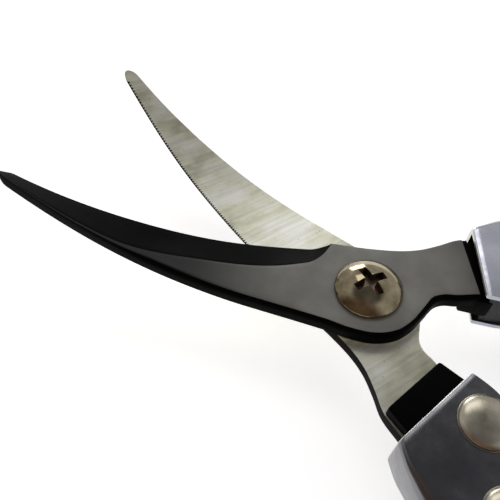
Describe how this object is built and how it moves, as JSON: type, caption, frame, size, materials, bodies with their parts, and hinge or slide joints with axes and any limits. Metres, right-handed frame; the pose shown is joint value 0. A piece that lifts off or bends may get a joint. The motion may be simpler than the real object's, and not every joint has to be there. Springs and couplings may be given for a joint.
{
  "type": "poultry shears",
  "caption": "Spring-opened poultry shears with two curved blades on a cross-recess pivot screw, folded sheet handles, a coil spring and a hook that locks them shut.",
  "frame": {"origin": "on the pivot axis, at the flat end of the pivot screw under the blades", "axes": "+X from the handles to the blade tips, midway between the open halves; +Z along the pivot axis, up to the screw head; +Y to the side of the lower half's handle"},
  "size_m": [0.2273, 0.1214, 0.0332],
  "materials": {
    "black_coated_steel": "satin",
    "ground_steel": "brushed",
    "polished_sheet": "polished",
    "polished_nickel": "polished",
    "bronze": "satin",
    "black_oxide": "satin",
    "spring_wire": "satin",
    "hook_steel": "brushed",
    "black_nylon": "matte"
  },
  "bodies": {
    "lower_half": {"lower_blade": "ground_steel", "lower_handle_shell": "polished_sheet", "lower_handle_core": "black_nylon", "lower_spring_seat": "black_nylon", "lower_front_rivet": "polished_nickel", "lower_middle_rivet": "polished_nickel", "lower_rear_rivet": "polished_nickel", "catch_pin": "polished_nickel", "pivot_screw": "polished_nickel", "pivot_bush": "bronze", "pivot_washer": "bronze", "pivot_nut": "black_oxide", "return_spring": "spring_wire"},
    "upper_half": {"upper_blade": "black_coated_steel", "upper_handle_shell": "polished_sheet", "upper_handle_core": "black_nylon", "upper_spring_seat": "black_nylon", "upper_front_rivet": "polished_nickel", "upper_middle_rivet": "polished_nickel", "upper_rear_rivet": "polished_nickel", "latch_pin": "polished_nickel"},
    "hook": {"latch_hook": "hook_steel"}
  },
  "joints": [
    {"name": "blade_pivot", "type": "hinge", "parent": "lower_half", "child": "upper_half", "pos_m": [0, 0, 0.0064], "axis": [0, 0, -1], "range_deg": [0, 31.5], "stiffness_Nm_per_rad": 4, "deforming": ["return_spring"]},
    {"name": "latch_swing", "type": "hinge", "parent": "upper_half", "child": "hook", "pos_m": [-0.13791, -0.04887, 0.0064], "axis": [0, 0, 1], "range_deg": [0, 104]}
  ]
}
